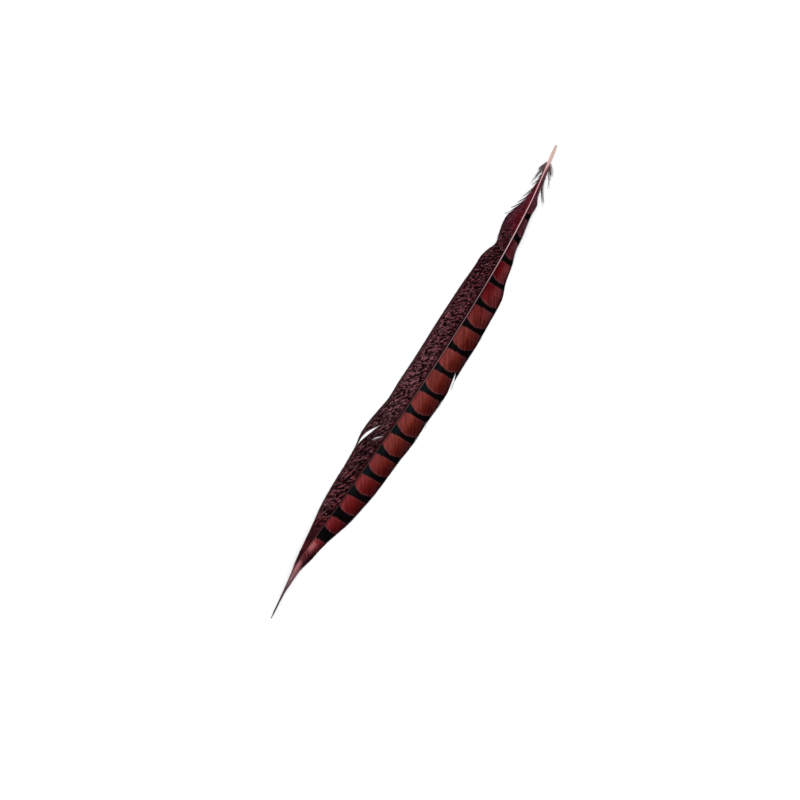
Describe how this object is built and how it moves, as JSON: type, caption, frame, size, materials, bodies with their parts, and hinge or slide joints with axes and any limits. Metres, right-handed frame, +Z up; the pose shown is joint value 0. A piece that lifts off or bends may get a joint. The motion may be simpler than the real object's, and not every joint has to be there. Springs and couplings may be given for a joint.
{
  "type": "pheasant tail feather",
  "caption": "Long dyed pheasant side tail feather lying flat: a tapering shaft, a wide red vane with black bars, a narrower mottled crimson vane and loose down at the foot.",
  "frame": {"origin": "on the surface that the feather lies on, under the middle of its box", "axes": "+X from the quill to the tip, +Y to the barred vane, +Z up from the surface"},
  "size_m": [0.4861, 0.047, 0.0061],
  "materials": {
    "shaft_horn": "satin",
    "barred_barbs": "matte",
    "mottled_barbs": "matte",
    "down": "matte"
  },
  "bodies": {
    "root": {"shaft": "shaft_horn", "barred_vane": "barred_barbs", "mottled_vane": "mottled_barbs", "down_barred_side": "down", "down_mottled_side": "down"}
  },
  "joints": []
}
